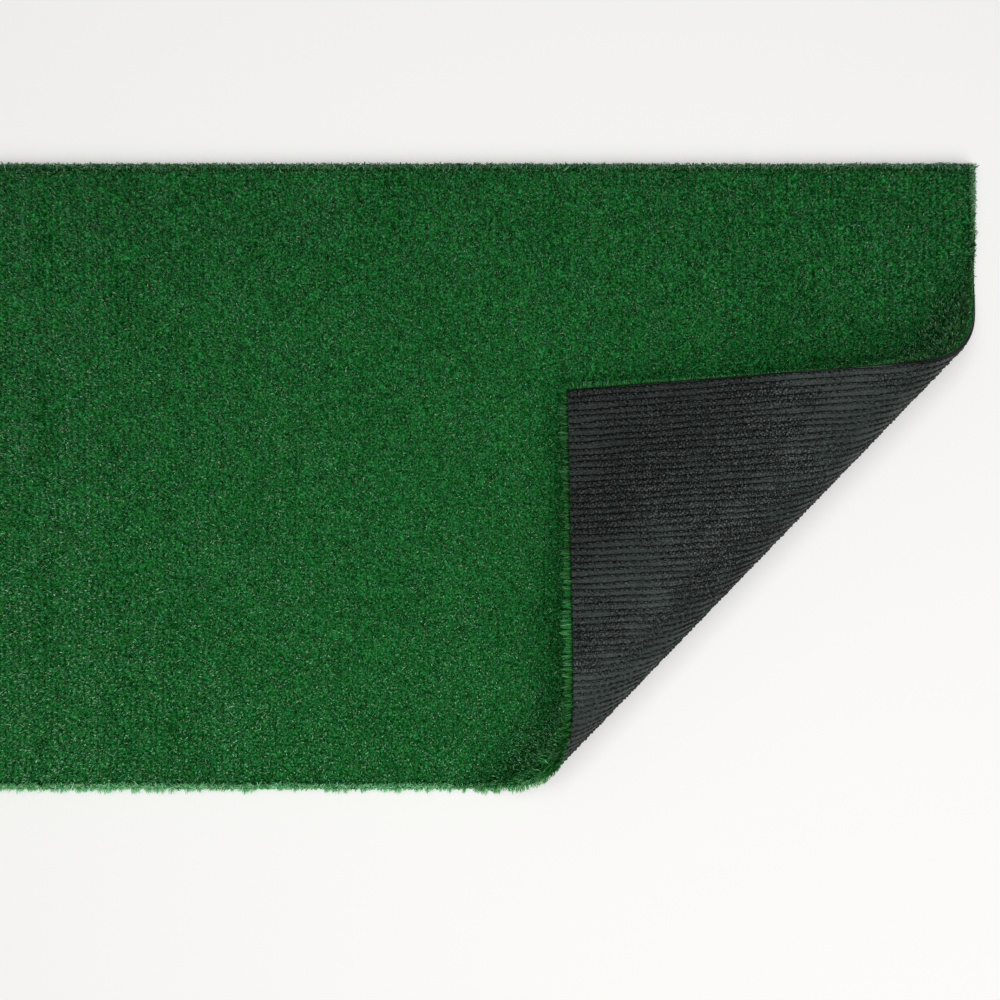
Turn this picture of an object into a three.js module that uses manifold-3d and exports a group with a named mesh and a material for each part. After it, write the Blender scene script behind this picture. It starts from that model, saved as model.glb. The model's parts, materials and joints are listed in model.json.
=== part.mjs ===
// Tufted turf hitting mat with its front right corner rolled over on top of the mat.
// The sheet has three layers: ribbed rubber coating below, woven primary cloth, and turf pile above.
// It is modelled flat and cut by planes parallel to the fold line into the lying mat, a few narrow
// strips and the corner flap. Nested groups then turn each piece about its own fold line.
// Millimetres, +X along the mat, +Y to its back edge, +Z up, origin below the middle of its outline.
import * as THREE from "three";
import { mergeGeometries, mergeVertices } from "three/addons/utils/BufferGeometryUtils.js";
import Module from "manifold-3d";

// The sheet
const MAT_LENGTH = 610;
const MAT_WIDTH = 305;
const RUBBER_THICKNESS = 1.7;
const CLOTH_THICKNESS = 0.4;
const PILE_HEIGHT = 8.3;
const LAYER_GAP = 0.3;

// Rows of back-stitches along the mat's width, one eighth of an inch apart, show as rubber ribs
const TUFT_GAUGE = 3.175;
const GROOVE_WIDTH = 1.5;
const GROOVE_DEPTH = 0.6;

// The rolled corner
const FOLD_ANGLE = THREE.MathUtils.degToRad(46);
const FOLD_START = 49; // where the bend meets the front edge, measured from the middle of the mat
const ROLL_RADIUS = 26.7; // outside of the roll
const FOLD_COUNT = 6;
const FOLD_GAP = 0.3;
const REST_CLEARANCE = 0.3; // between the tip of the flap and the pile that it rests on

// Loose strands of pile yarn that stand out past the front cut edge
const STRAND_PITCH = 1.5;
const STRAND_REACH = 4.5;
const STRAND_RADIUS = 0.42;
const STRAND_ROOT_DEPTH = 1;
const STRAND_SPREAD = 0.25;
const STRAND_EDGE_MARGIN = 1.2; // from the pile's lower and upper faces

const CUT_MARGIN = 1; // how far cutting solids run past what they cut
const SHEET_THICKNESS = RUBBER_THICKNESS + CLOTH_THICKNESS + PILE_HEIGHT + 2 * LAYER_GAP;
const CLOTH_BOTTOM = RUBBER_THICKNESS + LAYER_GAP;
const PILE_BOTTOM = CLOTH_BOTTOM + CLOTH_THICKNESS + LAYER_GAP;
const FRONT_EDGE = -MAT_WIDTH / 2;
const RIGHT_EDGE = MAT_LENGTH / 2;

const PILE_MATERIAL = new THREE.MeshStandardMaterial({ color: 0x1e5029, roughness: 0.95, metalness: 0 });
const CLOTH_MATERIAL = new THREE.MeshStandardMaterial({ color: 0x23302a, roughness: 0.9, metalness: 0 });
const RUBBER_MATERIAL = new THREE.MeshStandardMaterial({ color: 0x282d2b, roughness: 0.7, metalness: 0 });

const wasm = await Module();
wasm.setup();

function toSolid(geometry) {
  geometry.deleteAttribute("normal");
  geometry.deleteAttribute("uv");
  const merged = mergeVertices(geometry, 1e-4);
  const mesh = new wasm.Mesh({
    numProp: 3,
    vertProperties: new Float32Array(merged.getAttribute("position").array),
    triVerts: new Uint32Array(merged.index.array),
  });
  return new wasm.Manifold(mesh);
}

function toGeometry(solid) {
  const mesh = solid.getMesh();
  const geometry = new THREE.BufferGeometry();
  geometry.setAttribute("position", new THREE.BufferAttribute(mesh.vertProperties, 3));
  geometry.setIndex(new THREE.BufferAttribute(mesh.triVerts, 1));
  return geometry;
}

// Fold lines. Distance from the start of the bend is measured square to them, towards the corner.

const foldDirection = new THREE.Vector3(Math.cos(FOLD_ANGLE), Math.sin(FOLD_ANGLE), 0);
const towardsCorner = new THREE.Vector3(Math.sin(FOLD_ANGLE), -Math.cos(FOLD_ANGLE), 0);
const bendStart = new THREE.Vector3(FOLD_START, FRONT_EDGE, 0);
const cornerDistance = new THREE.Vector3(RIGHT_EDGE, FRONT_EDGE, 0).sub(bendStart).dot(towardsCorner);

function foldDistance(index, turn) {
  const bendLength = ROLL_RADIUS * turn;
  return (bendLength * (index + 0.5)) / FOLD_COUNT;
}

// Height of the lowest point of the flap, the pile at its tip, when the corner has turned by this much
function tipHeight(turn) {
  const step = turn / FOLD_COUNT;
  let height = 0;
  for (let index = 1; index < FOLD_COUNT; index += 1) {
    const stripWidth = foldDistance(index, turn) - foldDistance(index - 1, turn);
    height += stripWidth * Math.sin(index * step);
  }
  const flapLength = cornerDistance - foldDistance(FOLD_COUNT - 1, turn);
  return height + flapLength * Math.sin(turn) + SHEET_THICKNESS * Math.cos(turn);
}

// The corner comes to rest when its tip meets the pile: halve the range until the turn is found
function restingTurn() {
  let least = Math.PI;
  let most = 1.5 * Math.PI;
  for (let round = 0; round < 40; round += 1) {
    const middle = (least + most) / 2;
    if (tipHeight(middle) > SHEET_THICKNESS + REST_CLEARANCE) {
      least = middle;
    } else {
      most = middle;
    }
  }
  return least;
}

const rollTurn = restingTurn();
const foldTurn = rollTurn / FOLD_COUNT;
const mitreSlope = Math.tan(foldTurn / 2);
const mitreSetback = FOLD_GAP / 2 / Math.cos(foldTurn / 2);

// The middle of a fold line, on the rubber's outer face
function foldPoint(index) {
  const alongFold = (RIGHT_EDGE - FOLD_START) / 2 / Math.cos(FOLD_ANGLE);
  const point = bendStart.clone().addScaledVector(foldDirection, alongFold);
  return point.addScaledVector(towardsCorner, foldDistance(index, rollTurn));
}

// A sheet layer is its end profile, drawn along X and up Z, run from the back edge to the front

function runAcross(profile) {
  const geometry = new THREE.ExtrudeGeometry(profile, { depth: MAT_WIDTH, bevelEnabled: false });
  geometry.rotateX(Math.PI / 2);
  geometry.translate(0, MAT_WIDTH / 2, 0);
  return toSolid(geometry);
}

function flatLayer(bottom, thickness) {
  const profile = new THREE.Shape();
  profile.moveTo(-RIGHT_EDGE, bottom);
  profile.lineTo(RIGHT_EDGE, bottom);
  profile.lineTo(RIGHT_EDGE, bottom + thickness);
  profile.lineTo(-RIGHT_EDGE, bottom + thickness);
  return runAcross(profile);
}

function ribbedLayer() {
  const rows = Math.round(MAT_LENGTH / TUFT_GAUGE);
  const pitch = MAT_LENGTH / rows;
  const profile = new THREE.Shape();
  profile.moveTo(-RIGHT_EDGE, GROOVE_DEPTH);
  for (let row = 0; row < rows; row += 1) {
    const x = -RIGHT_EDGE + row * pitch;
    profile.lineTo(x + GROOVE_WIDTH / 2, 0);
    profile.lineTo(x + pitch - GROOVE_WIDTH / 2, 0);
    profile.lineTo(x + pitch, GROOVE_DEPTH);
  }
  profile.lineTo(RIGHT_EDGE, RUBBER_THICKNESS);
  profile.lineTo(-RIGHT_EDGE, RUBBER_THICKNESS);
  return runAcross(profile);
}

// The space between two fold lines, with mitred sides that meet the neighbours' when the corner is
// rolled. The mitres start at the rubber's outer face, where each fold turns.

function mitreDistance(fold, height, side) {
  return foldDistance(fold, rollTurn) + side * (mitreSetback + height * mitreSlope);
}

function foldSlice(first, last) {
  const reach = MAT_LENGTH + MAT_WIDTH;
  const bottom = -CUT_MARGIN;
  const top = SHEET_THICKNESS + CUT_MARGIN;
  const nearSide = (height) => (first < 0 ? -reach : mitreDistance(first, height, 1));
  const farSide = (height) => (last < FOLD_COUNT ? mitreDistance(last, height, -1) : reach);
  const section = new THREE.Shape();
  section.moveTo(nearSide(bottom), bottom);
  section.lineTo(farSide(bottom), bottom);
  section.lineTo(farSide(top), top);
  section.lineTo(nearSide(top), top);
  const geometry = new THREE.ExtrudeGeometry(section, { depth: 2 * reach, bevelEnabled: false });
  geometry.translate(0, 0, -reach);
  const up = new THREE.Vector3(0, 0, 1);
  geometry.applyMatrix4(new THREE.Matrix4().makeBasis(towardsCorner, up, foldDirection.clone().negate()));
  geometry.translate(bendStart.x, bendStart.y, bendStart.z);
  return toSolid(geometry);
}

// Pile strands past the front edge: three-sided, bent once and drawn to a point. Each keeps to its
// own place along the edge, so none crosses another.

function strand(x, z, lean, reach) {
  const sections = [
    { x, y: FRONT_EDGE + STRAND_ROOT_DEPTH, z, radius: STRAND_RADIUS },
    { x: x + lean / 2, y: FRONT_EDGE - 0.6 * reach, z: z + 0.1 * reach, radius: 0.8 * STRAND_RADIUS },
  ];
  const points = [];
  for (const section of sections) {
    for (let side = 0; side < 3; side += 1) {
      const angle = (side * 2 * Math.PI) / 3 + Math.PI / 2;
      points.push(section.x + section.radius * Math.cos(angle));
      points.push(section.y);
      points.push(section.z + section.radius * Math.sin(angle));
    }
  }
  points.push(x + lean, FRONT_EDGE - reach, z - 0.15 * reach);
  const faces = [0, 2, 1];
  for (let side = 0; side < 3; side += 1) {
    const next = (side + 1) % 3;
    faces.push(side, next, side + 3);
    faces.push(next, next + 3, side + 3);
    faces.push(side + 3, next + 3, 6);
  }
  const geometry = new THREE.BufferGeometry();
  geometry.setAttribute("position", new THREE.Float32BufferAttribute(points, 3));
  geometry.setIndex(faces);
  return geometry;
}

// A number between 0 and 1 that jumps about evenly as the index counts up
function scatter(index, step) {
  return (index * step) % 1;
}

function fringe(fromX, toX) {
  const count = Math.floor((toX - fromX) / STRAND_PITCH);
  const lowest = PILE_BOTTOM + STRAND_EDGE_MARGIN;
  const highest = SHEET_THICKNESS - STRAND_EDGE_MARGIN;
  const strands = [];
  for (let index = 0; index < count; index += 1) {
    const x = fromX + (index + 0.5) * STRAND_PITCH;
    const z = lowest + (highest - lowest) * scatter(index, 0.618);
    const lean = STRAND_SPREAD * (2 * scatter(index, 0.414) - 1);
    const reach = STRAND_REACH * (1 - 0.45 * scatter(index, 0.732));
    strands.push(strand(x, z, lean, reach));
  }
  return toSolid(mergeGeometries(strands));
}

function alongFrontEdge(distance) {
  return FOLD_START + distance / Math.sin(FOLD_ANGLE);
}

const leanAside = STRAND_REACH * Math.cos(FOLD_ANGLE);
const matFringeEnd = alongFrontEdge(mitreDistance(0, SHEET_THICKNESS, -1) - leanAside - STRAND_PITCH);
const flapFringeStart = alongFrontEdge(mitreDistance(FOLD_COUNT - 1, SHEET_THICKNESS, 1) + STRAND_PITCH);

// Each piece of the sheet between two folds has one mesh a layer, with its origin on its fold line

const layers = [
  { name: "rubber", solid: ribbedLayer(), material: RUBBER_MATERIAL },
  { name: "cloth", solid: flatLayer(CLOTH_BOTTOM, CLOTH_THICKNESS), material: CLOTH_MATERIAL },
  { name: "pile", solid: flatLayer(PILE_BOTTOM, PILE_HEIGHT), material: PILE_MATERIAL },
];

const fringes = new Map([
  ["pile_mat", fringe(-RIGHT_EDGE, matFringeEnd)],
  ["pile_flap", fringe(flapFringeStart, RIGHT_EDGE)],
]);

function pieceName(index) {
  if (index === 0) {
    return "mat";
  }
  return index < FOLD_COUNT ? `strip_${index}` : "flap";
}

function fillPiece(group, index, origin) {
  const slice = foldSlice(index - 1, index);
  for (const layer of layers) {
    const name = `${layer.name}_${pieceName(index)}`;
    let solid = layer.solid.intersect(slice);
    if (fringes.has(name)) {
      solid = solid.add(fringes.get(name));
    }
    const geometry = toGeometry(solid);
    geometry.translate(-origin.x, -origin.y, -origin.z);
    const mesh = new THREE.Mesh(geometry, layer.material.clone());
    mesh.name = name;
    group.add(mesh);
  }
}

const turfMat = new THREE.Group();
turfMat.position.y = STRAND_REACH / 2;
let parentOrigin = new THREE.Vector3();
fillPiece(turfMat, 0, parentOrigin);

let parentGroup = turfMat;
for (let index = 0; index < FOLD_COUNT; index += 1) {
  const origin = foldPoint(index);
  const folded = new THREE.Group();
  folded.position.copy(origin).sub(parentOrigin);
  folded.setRotationFromAxisAngle(foldDirection, -foldTurn);
  fillPiece(folded, index + 1, origin);
  parentGroup.add(folded);
  parentGroup = folded;
  parentOrigin = origin;
}

export default turfMat;
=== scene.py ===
import json
import math

import bpy
import numpy as np
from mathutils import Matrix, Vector

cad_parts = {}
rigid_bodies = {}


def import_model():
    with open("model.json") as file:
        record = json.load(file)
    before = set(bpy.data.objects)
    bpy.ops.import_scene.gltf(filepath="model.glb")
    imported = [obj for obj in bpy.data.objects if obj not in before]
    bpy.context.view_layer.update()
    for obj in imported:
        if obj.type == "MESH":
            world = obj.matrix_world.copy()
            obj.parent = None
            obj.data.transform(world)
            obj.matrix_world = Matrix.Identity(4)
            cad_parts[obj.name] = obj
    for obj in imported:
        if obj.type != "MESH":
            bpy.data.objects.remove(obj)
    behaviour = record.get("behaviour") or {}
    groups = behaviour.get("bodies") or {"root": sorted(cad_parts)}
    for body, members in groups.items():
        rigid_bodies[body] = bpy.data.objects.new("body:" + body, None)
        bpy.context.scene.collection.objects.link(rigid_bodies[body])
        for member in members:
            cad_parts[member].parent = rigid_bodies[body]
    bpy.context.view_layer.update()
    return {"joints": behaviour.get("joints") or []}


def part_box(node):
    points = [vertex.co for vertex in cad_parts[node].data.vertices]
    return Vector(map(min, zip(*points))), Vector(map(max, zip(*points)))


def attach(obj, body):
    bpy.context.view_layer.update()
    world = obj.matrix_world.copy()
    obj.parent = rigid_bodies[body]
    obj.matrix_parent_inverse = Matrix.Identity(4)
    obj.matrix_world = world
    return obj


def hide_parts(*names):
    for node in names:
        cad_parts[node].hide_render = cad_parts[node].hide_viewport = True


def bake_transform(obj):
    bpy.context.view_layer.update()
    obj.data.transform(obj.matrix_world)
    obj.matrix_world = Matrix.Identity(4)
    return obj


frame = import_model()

# Rubber coating: black latex spread over the yarn's back-stitches while wet, then cured. It runs
# smooth between the rows, and each stitch stands up in its row as a nub with a crevice round it.
# The crevices are painted dark as shade, and the nubs painted paler, partly as wear and partly as
# highlight.
# The front right corner lies rolled over, so this side faces up there.

MM = 0.001
random = np.random.default_rng(46)

folds = frame["joints"]
bodies = [folds[0]["parent"]] + [fold["child"] for fold in folds]
FOLD_COUNT = len(folds)
fold_line = np.array(folds[0]["axis"])
to_corner = np.array([fold_line[1], -fold_line[0], 0.0])
STRIP = float(np.linalg.norm(np.subtract(folds[1]["pos_m"], folds[0]["pos_m"])))
FOLD_TURN = math.radians(folds[0]["range_deg"][1])
ROLL_TURN = FOLD_COUNT * FOLD_TURN
ROLL_RADIUS = STRIP / 2 / math.tan(FOLD_TURN / 2)
BEND_LENGTH = FOLD_COUNT * STRIP

(LEFT, FRONT, _), (RIGHT, BACK, RUBBER_TOP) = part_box("rubber_mat")

bend_start = np.array(folds[0]["pos_m"]) - to_corner * STRIP / 2
bend_start = bend_start + fold_line * (FRONT - bend_start[1]) / fold_line[1]
CORNER_PAST = float((np.array([RIGHT, FRONT, 0.0]) - bend_start) @ to_corner)


def past_bend(x, y):
    """How far a place on the flat sheet is past the start of the bend, square to the roll."""
    return (x - bend_start[0]) * to_corner[0] + (y - bend_start[1]) * to_corner[1]


def from_edge(x, y):
    """How far a place on the flat sheet is from the nearest cut edge."""
    return np.minimum(np.minimum(x - LEFT, RIGHT - x), np.minimum(y - FRONT, BACK - y))


FRONT_TRIM = 1.4 * MM  # the front edge of the lying part is cut this much shorter than at the corner
RIGHT_TRIM = 1.1 * MM
TRIM_WIDTH = 10 * MM  # the trim is taken up over this width


def trimmed(x, y):
    """Places on the flat sheet, drawn in near the front and right edges of the lying part."""
    front_lying = 1 - np.clip(past_bend(x, FRONT) / (2 * STRIP), 0, 1)
    right_lying = 1 - np.clip(past_bend(RIGHT, y) / (2 * STRIP), 0, 1)
    front_trim = FRONT_TRIM * front_lying * np.clip(1 - (y - FRONT) / TRIM_WIDTH, 0, 1)
    right_trim = RIGHT_TRIM * right_lying * np.clip(1 - (RIGHT - x) / TRIM_WIDTH, 0, 1)
    return x - right_trim, y + front_trim


def laid(x, y, height):
    """Where a place on the flat sheet lies, at a height above its underside, with the corner rolled."""
    past = past_bend(x, y)
    along = (x - bend_start[0]) * fold_line[0] + (y - bend_start[1]) * fold_line[1]
    turn = np.clip(past / BEND_LENGTH, 0, 1) * ROLL_TURN
    straight = past - np.clip(past, 0, BEND_LENGTH)
    outward = (ROLL_RADIUS - height) * np.sin(turn) + straight * np.cos(turn)
    upward = ROLL_RADIUS - (ROLL_RADIUS - height) * np.cos(turn) + straight * np.sin(turn)
    point = bend_start + outward[..., None] * to_corner + along[..., None] * fold_line
    point[..., 2] += upward
    return point


def mat_grid(step):
    """Places on the part of the sheet that lies flat, in columns from its left edge to its right."""
    x = np.linspace(LEFT, RIGHT, round((RIGHT - LEFT) / step[0]) + 1)
    low = np.maximum(FRONT, FRONT + (x - bend_start[0]) * fold_line[1] / fold_line[0])
    share = np.linspace(0, 1, round((BACK - FRONT) / step[1]) + 1)
    y = low[:, None] + (BACK - low[:, None]) * share
    return np.broadcast_to(x[:, None], y.shape), y


def roll_grid(start, end, step):
    """Places between two lines along the roll, in columns from the sheet's front edge to its right
    edge. The rows keep to one lattice, so a column's first and last places may repeat."""
    past = np.linspace(start, end, math.ceil((end - start) / step) + 1)
    near = past * -to_corner[1] / fold_line[1]
    far = (RIGHT - bend_start[0] - past * to_corner[0]) / fold_line[0]
    rows = np.arange(math.floor(near.min() / step), math.ceil(far.max() / step) + 1) * step
    along = np.clip(rows, near[:, None], far[:, None])
    x = bend_start[0] + past[:, None] * to_corner[0] + along * fold_line[0]
    y = bend_start[1] + past[:, None] * to_corner[1] + along * fold_line[1]
    return x, y


BLUNT_TIP = 0.2 * MM  # left off the very corner, where the grid would end in a point


def sheet_parts(mat_step, roll_step):
    """Each part of the sheet: its name, its grid of places, and the one or two bodies it follows."""
    yield "mat", mat_grid(mat_step), bodies[:1]
    for fold in range(FOLD_COUNT):
        grid = roll_grid(fold * STRIP, (fold + 1) * STRIP, roll_step)
        yield f"fold_{fold + 1}", grid, bodies[fold : fold + 2]
    yield "flap", roll_grid(BEND_LENGTH, CORNER_PAST - BLUNT_TIP, roll_step), bodies[-1:]


def add_mesh(name, points, face_groups, smooth_groups):
    """An object from points and groups of faces, each group an array with one face to a row. The
    first so many groups are shaded smooth."""
    mesh = bpy.data.meshes.new(name)
    mesh.vertices.add(len(points))
    mesh.vertices.foreach_set("co", points.astype(np.float32).ravel())
    corners = np.concatenate([group.ravel() for group in face_groups]).astype(np.int32)
    sizes = np.concatenate([np.full(len(group), group.shape[1]) for group in face_groups])
    smooth = np.concatenate([np.full(len(g), i < smooth_groups) for i, g in enumerate(face_groups)])
    mesh.loops.add(len(corners))
    mesh.loops.foreach_set("vertex_index", corners)
    mesh.polygons.add(len(sizes))
    mesh.polygons.foreach_set("loop_start", (np.cumsum(sizes) - sizes).astype(np.int32))
    mesh.polygons.foreach_set("use_smooth", smooth)
    mesh.update(calc_edges=True)
    piece = bpy.data.objects.new(name, mesh)
    bpy.context.scene.collection.objects.link(piece)
    return piece


def set_attribute(piece, name, values):
    """A value at each point, or a vector where the values have three columns."""
    vector = values.ndim == 2
    attribute = piece.data.attributes.new(name, "FLOAT_VECTOR" if vector else "FLOAT", "POINT")
    attribute.data.foreach_set("vector" if vector else "value", values.astype(np.float32).ravel())


def set_bake_map(piece, places):
    """The piece's flat map: a place for each corner of each face, in turn."""
    layer = piece.data.uv_layers.new(name="OFBake")
    layer.uv.foreach_set("vector", places.astype(np.float32).ravel())


SAME_PLACE = 1e-7  # places nearer than this, in metres, are one


def add_layer(name, x, y, face_height, base_height, face_up, **values):
    """A closed sheet over a grid of places, with a modelled face and a plain base, which needs points
    on its two long edges only. The values are kept at its points, and so is the place on the sheet."""
    columns = len(x)
    moved = np.hypot(np.diff(x, axis=1), np.diff(y, axis=1)) > SAME_PLACE
    kept = np.concatenate([np.full((columns, 1), True), moved], 1)
    top = np.cumsum(kept).reshape(kept.shape) - 1
    edge_x, edge_y, edge_base = x[:, [0, -1]], y[:, [0, -1]], (base_height + 0 * x)[:, [0, -1]]
    face_points = laid(*trimmed(x, y), face_height)[kept]
    edge_points = laid(*trimmed(edge_x, edge_y), edge_base).reshape(-1, 3)
    points = np.concatenate([face_points, edge_points])
    under = top[-1, -1] + 1 + np.arange(columns * 2).reshape(columns, 2)
    a, b, c, d = top[:-1, :-1], top[1:, :-1], top[1:, 1:], top[:-1, 1:]
    first_end = np.concatenate([top[0][kept[0]], under[0, ::-1]])
    last_end = np.concatenate([top[-1][kept[-1]][::-1], under[-1]])
    groups = [
        np.stack([a, b, c, d], -1)[(a != d) & (b != c)],
        np.stack([a, b, c], -1)[(a == d) & (b != c)],
        np.stack([a, b, d], -1)[(a != d) & (b == c)],
        np.stack([under[:-1, 0], under[:-1, 1], under[1:, 1], under[1:, 0]], -1),
        np.stack([top[1:, 0], top[:-1, 0], under[:-1, 0], under[1:, 0]], -1),
        np.stack([top[:-1, -1], top[1:, -1], under[1:, 1], under[:-1, 1]], -1),
        first_end[None],
        last_end[None],
    ]
    if not face_up:
        groups = [group[:, ::-1] for group in groups]
    piece = add_mesh(name, points, groups, 3)
    flat = np.stack([x, y, face_height + 0 * x], -1)
    for key, grid in {"flat": flat, **values}.items():
        edge = grid[:, [0, -1]].reshape(-1, *grid.shape[2:])
        set_attribute(piece, key, np.concatenate([grid[kept], edge]))
    share = np.broadcast_to(np.linspace(0, 1, columns)[:, None], kept.shape)
    height = np.broadcast_to(np.linspace(0, 1, kept.shape[1]), kept.shape)
    side = np.concatenate([np.zeros(kept.sum()), np.ones(columns * 2)])
    column = np.concatenate([share[kept], np.repeat(share[:, 0], 2)])
    row = np.concatenate([height[kept], np.tile([0, 1], columns)])
    # On the map the face has the lower part, and the base and the sides thin bands above it
    bands = [(column, row, 0.0, 0.88)] * 3
    bands += [(column, row, 0.89, 0.01), (column, side, 0.91, 0.01), (column, side, 0.93, 0.01)]
    bands += [(row, side, 0.95, 0.01), (row, side, 0.97, 0.01)]
    places = [
        np.stack([across[group], low + high * up[group]], -1).reshape(-1, 2)
        for group, (across, up, low, high) in zip(groups, bands)
    ]
    set_bake_map(piece, np.concatenate(places))
    return piece


def follow(piece, part, ends, height):
    """The piece rides on one body; one that spans two is left where it lies, with its transform applied."""
    if len(ends) == 1:
        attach(piece, ends[0])
        return
    fold = int(part[-1])
    lines = [bend_start + to_corner * STRIP * place for place in (fold - 1, fold)]
    low, high = (laid(line[0], line[1], np.float64(height)) for line in lines)
    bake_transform(piece)


def replaced_node(layer, part):
    """The node that a part of the sheet stands for. The last fold shares the flap's."""
    if part in ("mat", "flap"):
        return f"{layer}_{part}"
    return f"{layer}_strip_{part[-1]}" if int(part[-1]) < FOLD_COUNT else f"{layer}_flap"


def colour(text):
    """An sRGB hex value as linear red, green, blue and alpha."""
    parts = [int(text[i : i + 2], 16) / 255 for i in (0, 2, 4)]
    return [p / 12.92 if p <= 0.04045 else ((p + 0.055) / 1.055) ** 2.4 for p in parts] + [1.0]


def add_node(tree, kind, settings, links=()):
    """Adds a node. A setting is one of its properties or, by name or number, an input's value;
    a link is an input's name or number and the output that feeds it."""
    node = tree.nodes.new(kind)
    for key, value in settings.items():
        if isinstance(key, str) and hasattr(node, key):
            setattr(node, key, value)
        else:
            node.inputs[key].default_value = value
    for key, output in dict(links).items():
        tree.links.new(output, node.inputs[key])
    return node


def set_stops(ramp, stops):
    """Gives a colour ramp its (place, hex colour) stops, and gives back its colour output."""
    elements = ramp.color_ramp.elements
    while len(elements) < len(stops):
        elements.new(0.5)
    for element, (place, text) in zip(elements, stops):
        element.position = place
        element.color = colour(text)
    return ramp.outputs["Color"]


def start_material(name):
    """A material with an empty node tree."""
    material = bpy.data.materials.new(name)
    material.use_nodes = True
    material.node_tree.nodes.clear()
    return material, material.node_tree


def finish_material(tree, settings, links):
    """Ends a material in one shader with these settings and links."""
    shader = add_node(tree, "ShaderNodeBsdfPrincipled", settings, links)
    add_node(tree, "ShaderNodeOutputMaterial", {}, {"Surface": shader.outputs[0]})


TUFT_GAUGE = 3.175 * MM  # an eighth of an inch
TUFT_ROWS = round((RIGHT - LEFT) / TUFT_GAUGE)
ROW_PITCH = (RIGHT - LEFT) / TUFT_ROWS
STITCH = 2.4 * MM
NUB_LENGTH = 1.9 * MM
NUB_WIDTH = 1.15 * MM
ROW_WIDTH = 1.5 * MM
CREVICE_WIDTH = 0.48 * MM
ROW_DEPTH = 0.5 * MM
BAND_DEPTH = 0.85 * MM
CREVICE_DEPTH = 1.15 * MM
CREVICE_PLACE = 0.72 * MM  # from the middle of its row
CREVICE_WANDER = 0.16 * MM
CRUMB_HEIGHT = 0.12 * MM
LONG_SWAY = (0.27 * MM, 14 * MM)  # how far the rows sway to each side, and the length of a radian
SHORT_SWAY = (0.16 * MM, 4.6 * MM)
CUT_EDGE = 0.7 * MM  # how far in from a cut edge the coat is darker
ROLL_LIGHT = 0.13  # painted light: how much paler the coat is painted round the roll, where the light falls on it
WORN = (RIGHT - 52 * MM, FRONT + 72 * MM)  # the coat is thinnest round here, on the flap
WORN_RADIUS = 52 * MM
RIPPLE_WAVES = 7
RIPPLE_STRENGTH = 2.6  # about the root of the number of waves
stitches = math.ceil((BACK - FRONT) / STITCH) + 2
nub_rise = random.uniform(0.0, 1.0, (TUFT_ROWS + 2, stitches)) ** 0.8
nub_shift = random.uniform(-0.3, 0.3, (TUFT_ROWS + 2, stitches))
nub_side = random.normal(0, 0.16 * MM, (TUFT_ROWS + 2, stitches))
row_start = random.uniform(0, 1, TUFT_ROWS + 2)
row_sway = random.uniform(0, 2 * math.pi, (TUFT_ROWS + 2, 2))


def ripple(x, y, length, seed):
    """A smooth, irregular field between about -1 and 1, with features of about the given length."""
    waves = np.random.default_rng(seed).uniform(0, 2 * math.pi, (RIPPLE_WAVES, 2))
    total = 0.0
    for way, phase in waves:
        total = total + np.sin((x * math.cos(way) + y * math.sin(way)) * 2 * math.pi / length + phase)
    return total / RIPPLE_STRENGTH


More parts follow.
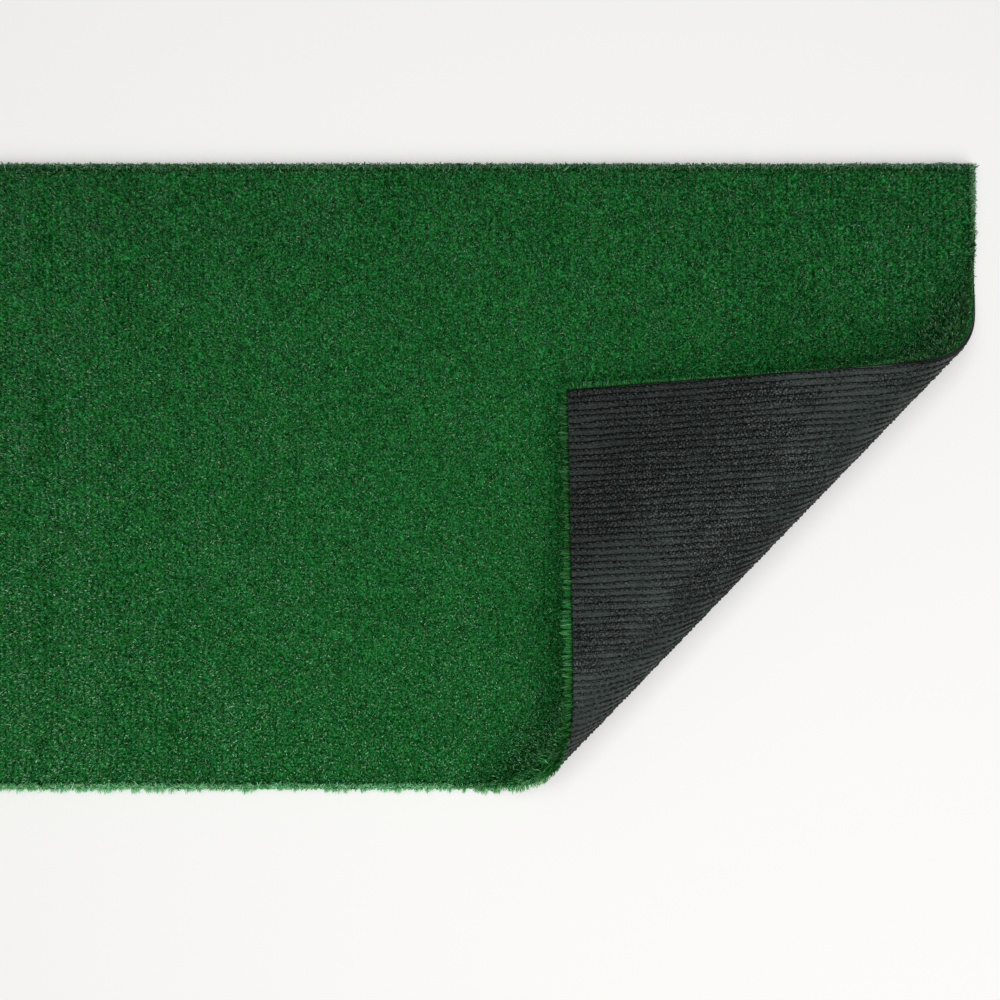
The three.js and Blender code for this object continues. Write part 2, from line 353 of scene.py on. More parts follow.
def coat(x, y):
    """The coating's outer face over the flat sheet: its depth below the tallest nubs, a level from 0
    in a crevice to 1 on a nub, and how thin it was spread, from 0 to 1. The level paints shade into
    the crevices and light round the roll, and makes the nubs paler, partly as wear, partly as painted
    highlight."""
    row = np.clip(((x - LEFT) / ROW_PITCH).astype(int), 0, TUFT_ROWS)
    sway = LONG_SWAY[0] * np.sin(y / LONG_SWAY[1] + row_sway[row, 0])
    sway = sway + SHORT_SWAY[0] * np.sin(y / SHORT_SWAY[1] + row_sway[row, 1])
    across = x - LEFT - (row + 0.5) * ROW_PITCH - sway
    place = np.maximum((y - FRONT) / STITCH + row_start[row], 0)
    stitch = np.clip(place.astype(int), 0, stitches - 1)
    beside = (place - stitch - 0.5 - nub_shift[row, stitch]) * STITCH
    worn = np.exp(-(((x - WORN[0]) ** 2 + (y - WORN[1]) ** 2) / WORN_RADIUS**2))
    thin = np.clip(0.85 * worn + 0.3 * ripple(x, y, 60 * MM, 5) + 0.3 * ripple(x, y, 16 * MM, 6), 0, 1)
    off_row = across - nub_side[row, stitch]
    squared = (off_row / (NUB_WIDTH / 2)) ** 2 + (beside / (NUB_LENGTH / 2)) ** 2
    nub = np.clip(1 - squared, 0, 1) ** 0.6 * nub_rise[row, stitch]
    ridge = np.exp(-((across / (ROW_WIDTH / 2)) ** 4))
    wander = CREVICE_PLACE + CREVICE_WANDER * ripple(x, y, 6 * MM, 7)
    crevice = np.exp(-(((across - wander) / (CREVICE_WIDTH / 2)) ** 2))
    crevice = crevice * np.clip(0.6 - 0.15 * thin + 0.75 * ripple(x, y, 3.2 * MM, 9), 0, 1)
    gap = np.exp(-(((np.sqrt(squared) - 1.1) / 0.4) ** 2))
    gap = gap * np.clip(0.5 + 0.6 * ripple(x, y, 3.1 * MM, 14), 0, 1)
    hollow = np.clip(np.maximum(crevice, gap * (0.7 + 0.3 * thin) * ridge), 0, 1)
    crumbs = ripple(x, y, 1.5 * MM, 8) * (0.12 + 0.88 * thin)
    body = BAND_DEPTH - (BAND_DEPTH - ROW_DEPTH) * ridge
    depth = body + (CREVICE_DEPTH - body) * hollow - nub * ROW_DEPTH + CRUMB_HEIGHT * crumbs
    # The plain coat is at 0.54, and each of these moves it by so much. The hollows get painted shade,
    # and the nubs a paleness that is partly wear and partly painted highlight
    level = 0.54 - 0.5 * hollow + nub * (0.1 + 0.24 * nub) - 0.1 * ridge - 0.21 * thin + 0.15 * crumbs
    past = past_bend(x, y)
    # Painted light: the coat is paler round the roll, where the light falls on it
    level += ROLL_LIGHT * np.clip(np.minimum(past / STRIP, 2 - (past - BEND_LENGTH) / STRIP), 0, 1)
    edge = from_edge(x, y)
    return np.maximum(depth, 0), np.clip(level, 0, 1) * np.clip(edge / CUT_EDGE, 0.15, 1), thin


latex, tree = start_material("cured_black_latex")
# Filled latex rubber with a satin finish, its crevices painted dark as shade and its nubs
# painted paler, partly as wear and partly as highlight
rise = add_node(tree, "ShaderNodeAttribute", {"attribute_name": "rise"})
flat = add_node(tree, "ShaderNodeAttribute", {"attribute_name": "flat"})
cloudy = add_node(
    tree, "ShaderNodeTexNoise", {"Scale": 1 / (30 * MM), "Detail": 3.0}, {"Vector": flat.outputs["Vector"]}
)
grain = add_node(
    tree, "ShaderNodeTexNoise", {"Scale": 1 / (0.6 * MM), "Detail": 2.0}, {"Vector": flat.outputs["Vector"]}
)
# The grain shows most where the coat is thin
thinness = add_node(tree, "ShaderNodeAttribute", {"attribute_name": "thin"})
coarse = add_node(
    tree, "ShaderNodeMath", {"operation": "MULTIPLY_ADD", 1: 2.6, 2: 0.9}, {0: thinness.outputs["Fac"]}
)
centred = add_node(tree, "ShaderNodeMath", {"operation": "SUBTRACT", 1: 0.5}, {0: grain.outputs["Fac"]})
specks = add_node(
    tree, "ShaderNodeMath", {"operation": "MULTIPLY"}, {0: centred.outputs[0], 1: coarse.outputs[0]}
)
level = add_node(
    tree, "ShaderNodeMath", {"operation": "ADD"}, {0: rise.outputs["Fac"], 1: specks.outputs[0]}
)
tone = set_stops(
    add_node(tree, "ShaderNodeValToRGB", {}, {"Fac": level.outputs[0]}),
    [
        (0.0, "000101"),
        (0.2, "010302"),
        (0.38, "0b120f"),
        (0.55, "29312e"),
        (0.8, "434c49"),
        (1.0, "626c69"),
    ],
)
cloud_tone = set_stops(
    add_node(tree, "ShaderNodeValToRGB", {}, {"Fac": cloudy.outputs["Fac"]}),
    [(0.3, "d0d4d2"), (0.7, "ffffff")],
)
mixed = add_node(
    tree,
    "ShaderNodeMix",
    {"data_type": "RGBA", "blend_type": "MULTIPLY", "Factor": 1.0},
    {6: tone, 7: cloud_tone},
)
skin = add_node(
    tree, "ShaderNodeBump", {"Strength": 0.5, "Distance": 0.25 * MM}, {"Height": grain.outputs["Fac"]}
)
finish_material(
    tree,
    {"IOR": 1.52, "Roughness": 0.48, "Specular IOR Level": 0.14},
    {"Base Color": mixed.outputs[2], "Normal": skin.outputs[0]},
)

MAT_UNDERSIDE_STEP = (ROW_PITCH / 4, 3.2 * MM)
COAT_STEP = 0.34 * MM
for part, (x, y), ends in sheet_parts(MAT_UNDERSIDE_STEP, COAT_STEP):
    depth, level, thin = coat(x, y)
    piece = add_layer(f"rubber_coat_{part}", x, y, depth, RUBBER_TOP, False, rise=level, thin=thin)
    piece.data.materials.append(latex)
    follow(piece, part, ends, 0.0)
    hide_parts(replaced_node("rubber", part))

# Primary cloth: flat polypropylene tapes woven plain, the ground that the yarn is tufted through.
# It lies bonded between rubber and pile, so only its cut edge shows.

CLOTH_BOTTOM, CLOTH_TOP = (corner[2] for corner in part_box("cloth_mat"))
TAPE_PITCH = 1.1 * MM
woven, tree = start_material("woven_polypropylene_tape")
# Extruded tape with a faint gloss, dyed dark green, crossing over and under
flat = add_node(tree, "ShaderNodeAttribute", {"attribute_name": "flat"})
waves = []
for axis in ("X", "Y"):
    settings = {"Scale": math.pi / 10 / TAPE_PITCH, "bands_direction": axis, "Distortion": 0.6}
    waves.append(add_node(tree, "ShaderNodeTexWave", settings, {"Vector": flat.outputs["Vector"]}))
crossing = add_node(
    tree,
    "ShaderNodeMath",
    {"operation": "MULTIPLY"},
    {0: waves[0].outputs["Fac"], 1: waves[1].outputs["Fac"]},
)
tape_tone = set_stops(
    add_node(tree, "ShaderNodeValToRGB", {}, {"Fac": crossing.outputs[0]}),
    [(0.0, "0b1610"), (1.0, "22382a")],
)
tape_bump = add_node(
    tree, "ShaderNodeBump", {"Strength": 0.5, "Distance": 0.1 * MM}, {"Height": crossing.outputs[0]}
)
finish_material(
    tree, {"IOR": 1.49, "Roughness": 0.5}, {"Base Color": tape_tone, "Normal": tape_bump.outputs[0]}
)

CLOTH_STEP = 5 * MM
for part, (x, y), ends in sheet_parts((CLOTH_STEP, CLOTH_STEP), CLOTH_STEP):
    piece = add_layer(f"primary_cloth_{part}", x, y, CLOTH_TOP + 0 * x, CLOTH_BOTTOM, True)
    piece.data.materials.append(woven)
    follow(piece, part, ends, CLOTH_TOP)
    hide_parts(replaced_node("cloth", part))
    length = float(np.hypot(x[0, -1] - x[0, 0], y[0, -1] - y[0, 0]))
    turned = np.diff(x, axis=0)[:, :-1] * np.diff(y, axis=1)[:-1]
    turned -= np.diff(y, axis=0)[:, :-1] * np.diff(x, axis=1)[:-1]

# Pile foot: the lower half of the tufts, packed so tight that it reads as one felted bed, painted
# dark as the shade deep in the pile. The yarn above stands out of it, and it keeps the cloth out of sight.

PILE_BOTTOM, PILE_TOP = (corner[2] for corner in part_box("pile_mat"))
FOOT_TOP = 6.6 * MM
FOOT_INSET = 0.5 * MM
FOOT_EDGE = 0.3 * MM  # its thickness at the cut edges
FOOT_UNEVEN = 0.7 * MM
SLOPE_START = 0.8 * MM
SLOPE_WIDTH = 2.4 * MM
packed, tree = start_material("packed_polypropylene_yarn")
# Crimped yarn in shade: a deep, dull green with its separate ends just told apart
flat = add_node(tree, "ShaderNodeAttribute", {"attribute_name": "flat"})
tangle = add_node(
    tree, "ShaderNodeTexNoise", {"Scale": 1 / (1.1 * MM), "Detail": 4.0}, {"Vector": flat.outputs["Vector"]}
)
foot_tone = set_stops(
    add_node(tree, "ShaderNodeValToRGB", {}, {"Fac": tangle.outputs["Fac"]}),
    [(0.32, "08380e"), (0.5, "1a6e2c"), (0.7, "3ca456")],
)
foot_bump = add_node(
    tree, "ShaderNodeBump", {"Strength": 1.0, "Distance": 1.0 * MM}, {"Height": tangle.outputs["Fac"]}
)
finish_material(
    tree,
    {"IOR": 1.49, "Roughness": 0.8, "Specular IOR Level": 0.05},
    {"Base Color": foot_tone, "Normal": foot_bump.outputs[0]},
)


def foot_height(x, y):
    """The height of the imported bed, which falls away at the cut edges."""
    edge = from_edge(x, y)
    slope = np.clip((edge - SLOPE_START) / SLOPE_WIDTH, 0, 1) ** 0.8
    full = FOOT_TOP - PILE_BOTTOM + FOOT_UNEVEN * ripple(x, y, 5 * MM, 11)
    return PILE_BOTTOM + FOOT_EDGE + (full - FOOT_EDGE) * slope


FOOT_STEP = 1.6 * MM
for part, (x, y), ends in sheet_parts((FOOT_STEP, FOOT_STEP), FOOT_STEP):
    inner_x = np.clip(x, LEFT + FOOT_INSET, RIGHT - FOOT_INSET)
    inner_y = np.clip(y, FRONT + FOOT_INSET, BACK - FOOT_INSET)
    piece = add_layer(f"pile_foot_{part}", inner_x, inner_y, foot_height(x, y), PILE_BOTTOM, True)
    piece.data.materials.append(packed)
    follow(piece, part, ends, FOOT_TOP)
    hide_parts(replaced_node("pile", part))

# Pile yarn: curled polypropylene tape, tufted in rows through the cloth and cut to one height. At the
# front edge, and so at the flap's side once rolled, loose ends hang out in pointed clumps.

YARN_RINGS = 4
YARN_WIDTH = 0.48 * MM
TINY = 1e-12  # keeps a length off zero
yarn, tree = start_material("curled_polypropylene_tape")
# Solution-dyed tape, bluer and yellower greens mixed, with a soft gloss on its flats; painted shade
# darkens it towards the roots, and painted light brightens it towards the mat's front edge
shade = add_node(tree, "ShaderNodeAttribute", {"attribute_name": "shade"})
tint = add_node(tree, "ShaderNodeAttribute", {"attribute_name": "tint"})
painted_shading = add_node(tree, "ShaderNodeAttribute", {"attribute_name": "painted_shading"})
cool = set_stops(
    add_node(tree, "ShaderNodeValToRGB", {}, {"Fac": shade.outputs["Fac"]}),
    [(0.0, "063c12"), (0.3, "168a42"), (0.55, "44b876"), (0.8, "74d4a8"), (1.0, "92deb4")],
)
warm = set_stops(
    add_node(tree, "ShaderNodeValToRGB", {}, {"Fac": shade.outputs["Fac"]}),
    [(0.0, "104602"), (0.3, "388a2c"), (0.55, "72ba64"), (0.8, "98d08a"), (1.0, "b2dc9a")],
)
dye = add_node(
    tree,
    "ShaderNodeMix",
    {"data_type": "RGBA"},
    {"Factor": tint.outputs["Fac"], 6: cool, 7: warm},
)
# Painted shade: each end is darker towards its root, as the shade deep in the pile
painted_shading_tone = set_stops(
    add_node(tree, "ShaderNodeValToRGB", {}, {"Fac": painted_shading.outputs["Fac"]}),
    [(0.0, "404040"), (1.0, "ffffff")],
)
deep = add_node(
    tree,
    "ShaderNodeMix",
    {"data_type": "RGBA", "blend_type": "MULTIPLY", "Factor": 1.0},
    {6: dye.outputs[2], 7: painted_shading_tone},
)
finish_material(
    tree,
    {"IOR": 1.49, "Roughness": 0.4, "Specular IOR Level": 0.34},
    {"Base Color": deep.outputs[2]},
)


def curled_yarn(root_x, root_y, root_z, height, lean_x, lean_y, curl, width):
    """Tape ends over the flat sheet, each a row of rings with two points to a ring."""
    count = len(root_x)
    step = np.linspace(0, 1, YARN_RINGS)
    way = random.uniform(0, 2 * math.pi, count)[:, None]
    turns = random.uniform(0.4, 1.0, count)[:, None] * 2 * math.pi
    swing = curl[:, None] * (1 - np.cos(turns * step)) / 2
    x = root_x[:, None] + lean_x[:, None] * step**1.7 + swing * np.cos(way)
    y = root_y[:, None] + lean_y[:, None] * step**1.7 + swing * np.sin(way)
    droop = random.uniform(0.3, 1.3, count)[:, None]
    z = root_z[:, None] + height[:, None] * ((1 + droop) * step - droop * step**2)
    line = np.stack([x, y, z], -1)
    ahead = np.gradient(line, axis=1)
    ahead /= np.linalg.norm(ahead, axis=-1, keepdims=True) + TINY
    side = np.cross(ahead, [0, 0, 1.0])
    side /= np.linalg.norm(side, axis=-1, keepdims=True) + TINY
    twist = random.uniform(-1.2, 1.2, (count, 1, 1))
    twist = twist + random.uniform(-0.7, 0.7, (count, 1, 1)) * step[:, None]
    side = np.cos(twist) * side + np.sin(twist) * np.cross(ahead, side)
    half = side * (width[:, None] * (1 - 0.5 * step**3))[..., None] / 2
    return np.stack([line - half, line + half], 2)


PILE_COUNT = 255000
SIDE_COUNT = 42000
# How far inside each cut edge a tip ends, for each unit of its height. Rolled up, the front and the
# right side splay out
SIDE_INSET = 0.38
BACK_INSET = 0.24
FRONT_INSET = 0.22
ROLLED_INSET = -0.4
EDGE_ROUND = 1.0 * MM
SPLAY_WIDTH = 7 * MM
SPLAY_REACH = 2.2 * MM
ROW_SPREAD = 0.8 * MM  # how far the tufts stray from the middle of their row
TIP_BELOW = 0.5 * MM  # how far the middling tip is below the top of the solid pile
TIP_SPREAD = 0.45 * MM
EDGE_FRAY = 0.6 * MM
ROOT_BELOW = 1.1 * MM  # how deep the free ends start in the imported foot
LEAN = 0.45 * MM
BENT_LIFT = 1.0 * MM  # round the roll they start this much higher
ROLL_END_SHADE_WIDTH = 22 * MM  # how far in from the roll's two ends the pile is painted darker, as shade
PAINTED_GLINT_SHARE = 0.012  # so few of the ends are painted much paler, as glints


def front_rolled(x):
    """From 0 on the lying part of the front edge to 1 where the roll has turned it up."""
    return np.clip(past_bend(x, FRONT) / (2 * STRIP), 0, 1)


def right_rolled(y):
    """From 0 on the lying part of the right edge to 1 on the flap."""
    return np.clip((past_bend(RIGHT, y) - 3 * STRIP) / (3 * STRIP), 0, 1)


def front_inset(x):
    """The inset along the front edge, from lying to rolled."""
    return FRONT_INSET + (ROLLED_INSET - FRONT_INSET) * front_rolled(x)


def right_inset(y):
    """The inset along the right edge, from lying to rolled."""
    return SIDE_INSET + (ROLLED_INSET - SIDE_INSET) * right_rolled(y)


def edge_inset(share, height):
    """How far inside a cut edge the tufts end at a height: they lean in, and round off at the top."""
    return share * (height - PILE_BOTTOM) + EDGE_ROUND * np.clip(height / PILE_TOP, 0, 1) ** 4


row = random.integers(0, TUFT_ROWS, PILE_COUNT)
pile_x = LEFT + (row + 0.5) * ROW_PITCH + random.normal(0, ROW_SPREAD, PILE_COUNT)
pile_y = random.uniform(FRONT, BACK, PILE_COUNT)
tip = PILE_TOP - TIP_BELOW + random.normal(0, TIP_SPREAD, PILE_COUNT)
from_left = pile_x - LEFT - edge_inset(SIDE_INSET, tip)
from_right = RIGHT - pile_x - edge_inset(np.maximum(right_inset(pile_y), 0), tip)
from_front = pile_y - FRONT - edge_inset(np.maximum(front_inset(pile_x), 0), tip)
from_back = BACK - pile_y - edge_inset(BACK_INSET, tip)
inside = np.minimum(np.minimum(from_left, from_right), np.minimum(from_front, from_back))
kept = inside > random.uniform(0, EDGE_FRAY, PILE_COUNT)
row, pile_x, pile_y, tip = row[kept], pile_x[kept], pile_y[kept], tip[kept]
count = len(pile_x)
root = foot_height(pile_x, pile_y) - ROOT_BELOW
bent = np.clip(past_bend(pile_x, pile_y) / STRIP, 0, 1)
painted_roll_end_shade = bent * np.exp(-((np.minimum(pile_y - FRONT, RIGHT - pile_x) / ROLL_END_SHADE_WIDTH) ** 2))
lean_x, lean_y = random.normal(0, LEAN, (2, count)) * (1 + 0.8 * bent)
lean_y -= SPLAY_REACH * front_rolled(pile_x) * np.clip(1 - (pile_y - FRONT) / SPLAY_WIDTH, 0, 1)
lean_x += SPLAY_REACH * right_rolled(pile_y) * np.clip(1 - (RIGHT - pile_x) / SPLAY_WIDTH, 0, 1)
curl = random.uniform(0.2 * MM, 0.8 * MM, count)
wide = YARN_WIDTH * random.uniform(0.7, 1.3, count)
root += BENT_LIFT * bent
pile = (pile_x, pile_y, root, (tip - root) * 0.95, lean_x, lean_y, curl, wide)
# Painted highlight: a few ends are much paler, as glints
pile_shade = random.normal(0.59, 0.29, count) + 0.3 * (random.random(count) < PAINTED_GLINT_SHARE)
# Painted shade: the pile is darker near the roll's two ends
pile_shade -= 0.26 * painted_roll_end_shade
pile_shade += 0.04 * ripple(pile_x, pile_y, 60 * MM, 12) + 0.05 * ripple(pile_x, 0 * pile_y, 23 * MM, 13)
pile_shade += random.normal(0, 0.035, TUFT_ROWS)[row] * (1 + ripple(pile_x, pile_y, 90 * MM, 15))

# Along the cut edges the tufts stand out sideways, tangled, and from nearly level at the cloth to
# upright at the top
RIGHT_SIDE = 1  # the sides are left, right, back and front, counted from 0
FRONT_SIDE = 3
SIDE_SHARES = (1 / 6, 1 / 6, 1 / 3, 1 / 3)  # by their lengths
SIDE_LENGTH = (1.6 * MM, 3.0 * MM)
SIDE_MARGIN = 0.2 * MM  # apart from those of the roll, they start at least this far inside the edge
ROOT_MARGIN = 0.1 * MM  # and this far above the bottom of the pile
end = random.choice(4, SIDE_COUNT, p=SIDE_SHARES)
along_x = random.uniform(LEFT + 2 * MM, RIGHT - 2 * MM, SIDE_COUNT)
along_y = random.uniform(FRONT + 2 * MM, BACK - 2 * MM, SIDE_COUNT)
lowest = PILE_BOTTOM + 0.4 * MM
highest = PILE_TOP - 0.9 * MM
side_tip = lowest + (highest - lowest) * random.random(SIDE_COUNT) ** 0.8
steep = np.radians(15 + 55 * side_tip / PILE_TOP) + random.normal(0, 0.45, SIDE_COUNT)
length = random.uniform(*SIDE_LENGTH, SIDE_COUNT)
length *= 1 - 0.35 * np.where(end == FRONT_SIDE, front_rolled(along_x), 0)
reach_out = length * np.cos(steep)
side_root = np.maximum(side_tip - length * np.sin(steep), PILE_BOTTOM + ROOT_MARGIN)
share = np.choose(end, [SIDE_INSET, right_inset(along_y), BACK_INSET, front_inset(along_x)])
side_end = edge_inset(share, side_tip) + random.uniform(-0.3 * MM, 0.5 * MM, SIDE_COUNT)
side_end -= np.where(end == RIGHT_SIDE, 0.8 * MM * random.random(SIDE_COUNT) ** 3, 0)
outside = side_end + reach_out < SIDE_MARGIN
reach_out = np.where(outside, SIDE_MARGIN - side_end, reach_out)
side_root = np.where(outside, PILE_BOTTOM + ROOT_MARGIN, side_root)
inward = side_end + reach_out
stray_x, stray_y = random.normal(0, 1.5 * MM, (2, SIDE_COUNT))
# On the rolled front edge they point up out of the roll, as the pile beside them does
side_turn = np.clip(past_bend(along_x, FRONT) / BEND_LENGTH * ROLL_TURN, 0, math.radians(75))
upright = (end == FRONT_SIDE) & (side_turn > 0) & (random.random(SIDE_COUNT) < 0.7)
rise_out = length * np.sin(side_turn)
reach_out = np.where(upright, -rise_out * to_corner[1], reach_out)
stray_x = np.where(upright, rise_out * to_corner[0] + 0.4 * stray_x, stray_x)
side_root = np.where(upright, np.maximum(side_tip - length * np.cos(side_turn), PILE_BOTTOM), side_root)
inward = np.where(upright, side_end + reach_out, inward)
side = (
    np.choose(end, [LEFT + inward, RIGHT - inward, along_x, along_x]),
    np.choose(end, [along_y, along_y, BACK - inward, FRONT + inward]),
    side_root,
    side_tip - side_root,
    np.choose(end, [-reach_out, reach_out, stray_x, stray_x]),
    np.choose(end, [stray_y, stray_y, reach_out, -reach_out]),
    random.uniform(0.5 * MM, 1.4 * MM, SIDE_COUNT),
    YARN_WIDTH * random.uniform(0.7, 1.2, SIDE_COUNT),
)
low = 1 - (side_tip / PILE_TOP) ** 3  # from 0 at the top of the pile to 1 at the floor
# Painted shade and light: the ends on the cut edges are painted darker than the pile, as shade. Along the
# lying front and right edges they are painted lighter, at the front most of all low down, and round the
# roll darker again, as shade.
side_shade = random.normal(0.42, 0.24, SIDE_COUNT)
side_shade += np.where(end == FRONT_SIDE, 0.15 + 0.06 * low - 0.5 * front_rolled(along_x), 0)
right_bent = np.clip(past_bend(RIGHT, along_y) / STRIP + 1, 0, 1)
side_shade += np.where(end == RIGHT_SIDE, 0.25 - 0.55 * right_bent, 0)
# Painted highlight: a few of them are much paler, as glints
side_shade += 0.4 * (random.random(SIDE_COUNT) < PAINTED_GLINT_SHARE)

# The fringe is loose ends low on the front cut edge, drawn together in clumps
FRINGE_COUNT = 10000
CLUMP_COUNT = 700  # more than the mat's length has room for
CLUMP_GAPS = (0.8 * MM, 3.4 * MM)
FRINGE_REACH = 2.1 * MM
FRINGE_LIMIT = 5.2 * MM
CORNER_FAN = 2.5 * MM  # round the sheet's corner the loose ends fan out by this much
LOOSE_ROOT = PILE_BOTTOM + 0.2 * MM  # they start just above the cloth
BUSHY_PAST = 6 * MM  # the fringe is fullest this far past the bend
BUSHY_WIDTH = 24 * MM
ROLLED_REACH = 1.2 * MM  # the fringe stands out this much further where the sheet is rolled up
FLAP_REACH = 1.5 * MM  # and this much more past the top of the roll
clumps = LEFT + np.cumsum(random.uniform(*CLUMP_GAPS, CLUMP_COUNT))
clumps = clumps[clumps < RIGHT]
clump_reach = FRINGE_REACH * random.uniform(0.1, 1.2, len(clumps)) ** 1.5
fringe_x = random.uniform(LEFT + 0.3 * MM, RIGHT - 0.3 * MM, FRINGE_COUNT)
fringe_y = random.uniform(FRONT + 0.1 * MM, FRONT + 1.6 * MM, FRINGE_COUNT)
clump = np.abs(fringe_x[:, None] - clumps).argmin(1)
pull = clumps[clump] - fringe_x
rolled = np.clip(past_bend(fringe_x, FRONT) / STRIP, 0, 1)
over = np.clip(past_bend(fringe_x, FRONT) / STRIP - 2.5, 0, 1)
out = 0.2 * MM + clump_reach[clump] * random.uniform(0.2, 1.1, FRINGE_COUNT)
bushy = np.exp(-(((past_bend(fringe_x, FRONT) - BEND_LENGTH - BUSHY_PAST) / BUSHY_WIDTH) ** 2))
over_reach = FLAP_REACH * over * (0.3 + 0.9 * bushy)
out += ROLLED_REACH * rolled + over_reach * random.uniform(0.3, 1.4, FRINGE_COUNT)
at_corner = np.clip(1 - (RIGHT - fringe_x) / (3 * MM), 0, 1)
fringe = (
    fringe_x,
    fringe_y,
    np.full(FRINGE_COUNT, LOOSE_ROOT),
    random.uniform(-2.4 * MM, 4.0 * MM, FRINGE_COUNT) - 1.8 * MM * rolled,
    pull * 0.75 + random.normal(0, 0.3 * MM, FRINGE_COUNT) + CORNER_FAN * at_corner,
    -np.clip(out, 0.2 * MM, FRINGE_LIMIT) - (fringe_y - FRONT),
    random.uniform(0.2 * MM, 0.8 * MM, FRINGE_COUNT),
    YARN_WIDTH * random.uniform(0.5, 0.9, FRINGE_COUNT),
)
# Painted light and shade: the lying fringe is painted paler than the pile, as the light that shines through
# it from the floor; rolled up, and more so past the top of the roll, it is painted darker, as shade, a
# little less so where it is bushiest.
fringe_shade = 0.74 + random.normal(0, 0.18, FRINGE_COUNT) * (1 - 0.5 * over)
fringe_shade += over * (0.14 * bushy - 0.34) - 0.32 * rolled

# Cut ends also lie out past the rubber along the flap's side edge, most of them near its tip
WISP_COUNT = 4000
WISP_REACH = 4.4 * MM
WISP_STRETCH = 85 * MM  # they thin out over this length from the tip
wisp_y = FRONT + ((CORNER_PAST - BEND_LENGTH) / -to_corner[1]) * random.uniform(0.01, 1.1, WISP_COUNT)
wisp_in = random.uniform(0.1 * MM, 1.0 * MM, WISP_COUNT)
near_tip = np.clip(1.15 - (wisp_y - FRONT) / WISP_STRETCH, 0, 1)
wisp = (
    RIGHT - wisp_in,
    wisp_y,
    np.full(WISP_COUNT, LOOSE_ROOT),
    random.uniform(-0.6 * MM, 2.4 * MM, WISP_COUNT) + 3 * MM * near_tip,
    wisp_in + random.uniform(0.0, 0.7 * MM, WISP_COUNT) + WISP_REACH * near_tip * random.random(WISP_COUNT),
    random.normal(0, 0.9 * MM, WISP_COUNT) - CORNER_FAN * np.clip(1 - (wisp_y - FRONT) / (4 * MM), 0, 1),
    random.uniform(0.2 * MM, 1.2 * MM, WISP_COUNT),
    YARN_WIDTH * random.uniform(0.4, 0.8, WISP_COUNT),
)
wisp_shade = random.normal(0.3, 0.22, WISP_COUNT)

tapes = [np.concatenate(values) for values in zip(pile, side, fringe, wisp)]
# Painted light: the mat is painted a little brighter towards its front edge, standing in for how
# the light falls on the pile there; near the roll's two ends it is painted darker, as shade
FRONT_LIGHT_FADE = 0.56
ROLL_END_SHADE = 0.25
painted_light_factor = 1 - FRONT_LIGHT_FADE * np.clip((tapes[1] - FRONT) / (BACK - FRONT), 0, 1)
painted_light_factor[:count] *= 1 - ROLL_END_SHADE * painted_roll_end_shade
shades = np.clip(np.concatenate([pile_shade, side_shade, fringe_shade, wisp_shade]), 0, 1)
tints = random.uniform(0, 1, len(shades))
rings = curled_yarn(*tapes)
past = past_bend(tapes[0], tapes[1])
FLOOR_CLEARANCE = 0.25 * MM
LOWEST_TIP = -0.6 * MM  # how far below the sheet's underside a loose end may hang
RING_PAINTED_SHADE = (0, 0.55, 1, 1)  # how far out of the painted shade each ring is, from the root up
CELL_SHAPE = 2.6  # on the map, how much taller than wide the cell of each end is


def add_yarn(name, chosen, part, ends):
    """One piece from the chosen tape ends, laid on a part of the sheet."""
    x, y, z = (rings[chosen][..., axis] for axis in range(3))
    points = laid(*trimmed(x, y), np.maximum(z, LOWEST_TIP)).reshape(-1, 3)
    points[:, 2] = np.maximum(points[:, 2], FLOOR_CLEARANCE)
    ring = np.arange(YARN_RINGS - 1) * 2
    quads = np.stack([ring, ring + 1, ring + 3, ring + 2], -1)
    count = len(chosen)
    faces = (np.arange(count)[:, None, None] * YARN_RINGS * 2 + quads).reshape(-1, 4)
    piece = add_mesh(name, points, [faces], 1)
    set_attribute(piece, "shade", np.repeat(shades[chosen], YARN_RINGS * 2))
    set_attribute(piece, "tint", np.repeat(tints[chosen], YARN_RINGS * 2))
    painted_shading = np.array(RING_PAINTED_SHADE) * painted_light_factor[chosen, None]
    set_attribute(piece, "painted_shading", np.repeat(painted_shading.ravel(), 2))
    across = math.ceil(math.sqrt(count * CELL_SHAPE))
    cell = np.stack([np.arange(count) % across, np.arange(count) // across], -1)
    spots = np.array([[(0.25, v), (0.75, v)] for v in np.linspace(0.14, 0.86, YARN_RINGS)]).reshape(-1, 2)
    places = (cell[:, None] + spots) / [across, math.ceil(count / across)]
    set_bake_map(piece, places.reshape(-1, 2)[faces.ravel()])
    piece.data.materials.append(yarn)
    follow(piece, part, ends, FOOT_TOP)


MAT_BUNCHES = 9
lying = np.flatnonzero(past < 0)
for bunch in range(MAT_BUNCHES):
    add_yarn(f"pile_yarn_mat_{bunch + 1}", lying[bunch::MAT_BUNCHES], "mat", bodies[:1])
for fold in range(FOLD_COUNT):
    chosen = np.flatnonzero((past >= fold * STRIP) & (past < (fold + 1) * STRIP))
    add_yarn(f"pile_yarn_fold_{fold + 1}", chosen, f"fold_{fold + 1}", bodies[fold : fold + 2])
add_yarn("pile_yarn_flap", np.flatnonzero(past >= BEND_LENGTH), "flap", bodies[-1:])

# Floor: plain matt white paper that the mat lies on. Two softboxes light it, one from the front
# right and one from nearly overhead, and the camera looks straight down, as in the photograph.

paper, tree = start_material("matt_white_paper")
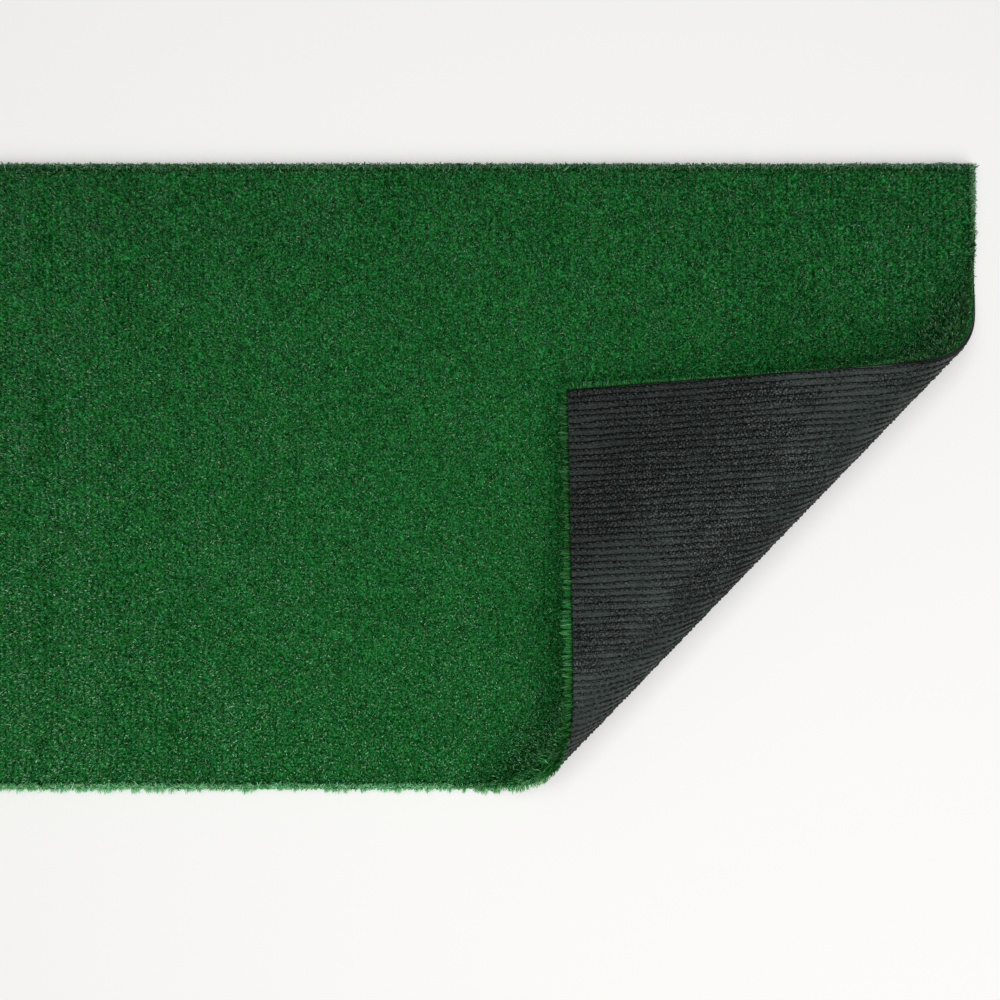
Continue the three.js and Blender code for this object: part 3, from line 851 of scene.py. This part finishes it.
# Matt paper, just off white, with no gloss to speak of
finish_material(
    tree, {"Base Color": colour("f8f7f5"), "Roughness": 0.9, "IOR": 1.45, "Specular IOR Level": 0.1}, {}
)
FLOOR_HALF = 3.0
floor_points = np.array([[-1, -1, 0], [1, -1, 0], [1, 1, 0], [-1, 1, 0]]) * FLOOR_HALF
floor = add_mesh("floor", floor_points, [np.array([[0, 1, 2, 3]])], 0)
floor.data.materials.append(paper)

scene = bpy.context.scene
scene.view_settings.view_transform = "Standard"
WORLD_LIGHT = 0.15
world = bpy.data.worlds.new("studio")
scene.world = world
world.use_nodes = True
world.node_tree.nodes["Background"].inputs["Color"].default_value = (1, 1, 1, 1)
world.node_tree.nodes["Background"].inputs["Strength"].default_value = WORLD_LIGHT

LAMP_SIZE = 1.2
LAMP_DISTANCE = 1.7
LAMPS = ((312, 55, 12.9), (135, 86, 17.5))  # azimuth and elevation in degrees, and watts
for azimuth, elevation, power in LAMPS:
    lamp = bpy.data.lights.new(f"softbox_{azimuth}", "AREA")
    lamp.shape = "SQUARE"
    lamp.size = LAMP_SIZE
    lamp.energy = power
    holder = bpy.data.objects.new(f"softbox_{azimuth}", lamp)
    scene.collection.objects.link(holder)
    turn, rise = math.radians(azimuth), math.radians(elevation)
    level = LAMP_DISTANCE * math.cos(rise)
    place = Vector((level * math.cos(turn), level * math.sin(turn), LAMP_DISTANCE * math.sin(rise)))
    holder.location = place
    holder.rotation_mode = "QUATERNION"
    holder.rotation_quaternion = (-place).to_track_quat("-Z", "Y")

PHOTO_PIXELS = 1000
PHOTO_SCALE = 0.4896 * MM  # one pixel of the photograph, at the floor
CAMERA_HEIGHT = 0.64
SENSOR_WIDTH = 36.0
RIGHT_EDGE_PIXEL = 974.5
FRONT_EDGE_PIXEL = 789.0
camera_data = bpy.data.cameras.new("camera")
camera = bpy.data.objects.new("camera", camera_data)
scene.collection.objects.link(camera)
scene.camera = camera
camera_data.sensor_width = SENSOR_WIDTH
camera_data.lens = SENSOR_WIDTH * CAMERA_HEIGHT / (PHOTO_PIXELS * PHOTO_SCALE)
camera.location = (
    RIGHT - (RIGHT_EDGE_PIXEL - PHOTO_PIXELS / 2) * PHOTO_SCALE,
    FRONT + (FRONT_EDGE_PIXEL - PHOTO_PIXELS / 2) * PHOTO_SCALE,
    CAMERA_HEIGHT,
)
